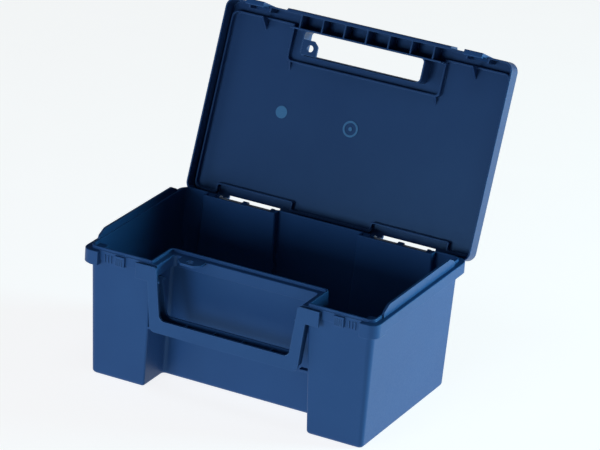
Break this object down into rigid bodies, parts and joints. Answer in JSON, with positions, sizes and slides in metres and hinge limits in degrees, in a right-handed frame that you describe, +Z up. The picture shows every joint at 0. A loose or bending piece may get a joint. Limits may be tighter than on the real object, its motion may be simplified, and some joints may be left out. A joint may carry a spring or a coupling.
{
  "type": "toolbox with hinged lid",
  "caption": "Moulded plastic toolbox with a hinged lid held open, a hand bay with a U-shaped front handle, and snap latches.",
  "frame": {"origin": "middle of the tub's underside, which rests on the surface", "axes": "+Z up; the hand bay and handle face -Y; +X is the viewer's right when facing the handle"},
  "size_m": [0.32, 0.2868, 0.3245],
  "materials": {
    "moulded_polypropylene": "satin moulded, dark blue",
    "latch_polypropylene": "satin moulded, dark blue",
    "pin_steel": "drawn steel wire"
  },
  "bodies": {
    "tub": {"tub": "moulded_polypropylene", "carry_handle": "moulded_polypropylene", "hinge_pin_left": "pin_steel", "hinge_pin_right": "pin_steel"},
    "lid": {"lid": "moulded_polypropylene"},
    "latch_left": {"latch_left": "latch_polypropylene"},
    "latch_right": {"latch_right": "latch_polypropylene"}
  },
  "joints": [
    {"name": "lid_hinge", "type": "hinge", "parent": "tub", "child": "lid", "pos_m": [0, 0.0985, 0.131], "axis": [1, 0, 0], "range_deg": [0, 110]},
    {"name": "latch_left_swing", "type": "hinge", "parent": "lid", "child": "latch_left", "pos_m": [-0.1209, 0.18144, 0.31035], "axis": [-1, 0, 0], "range_deg": [-6, 44]},
    {"name": "latch_right_swing", "type": "hinge", "parent": "lid", "child": "latch_right", "pos_m": [0.1209, 0.18144, 0.31035], "axis": [-1, 0, 0], "range_deg": [-6, 44]}
  ]
}
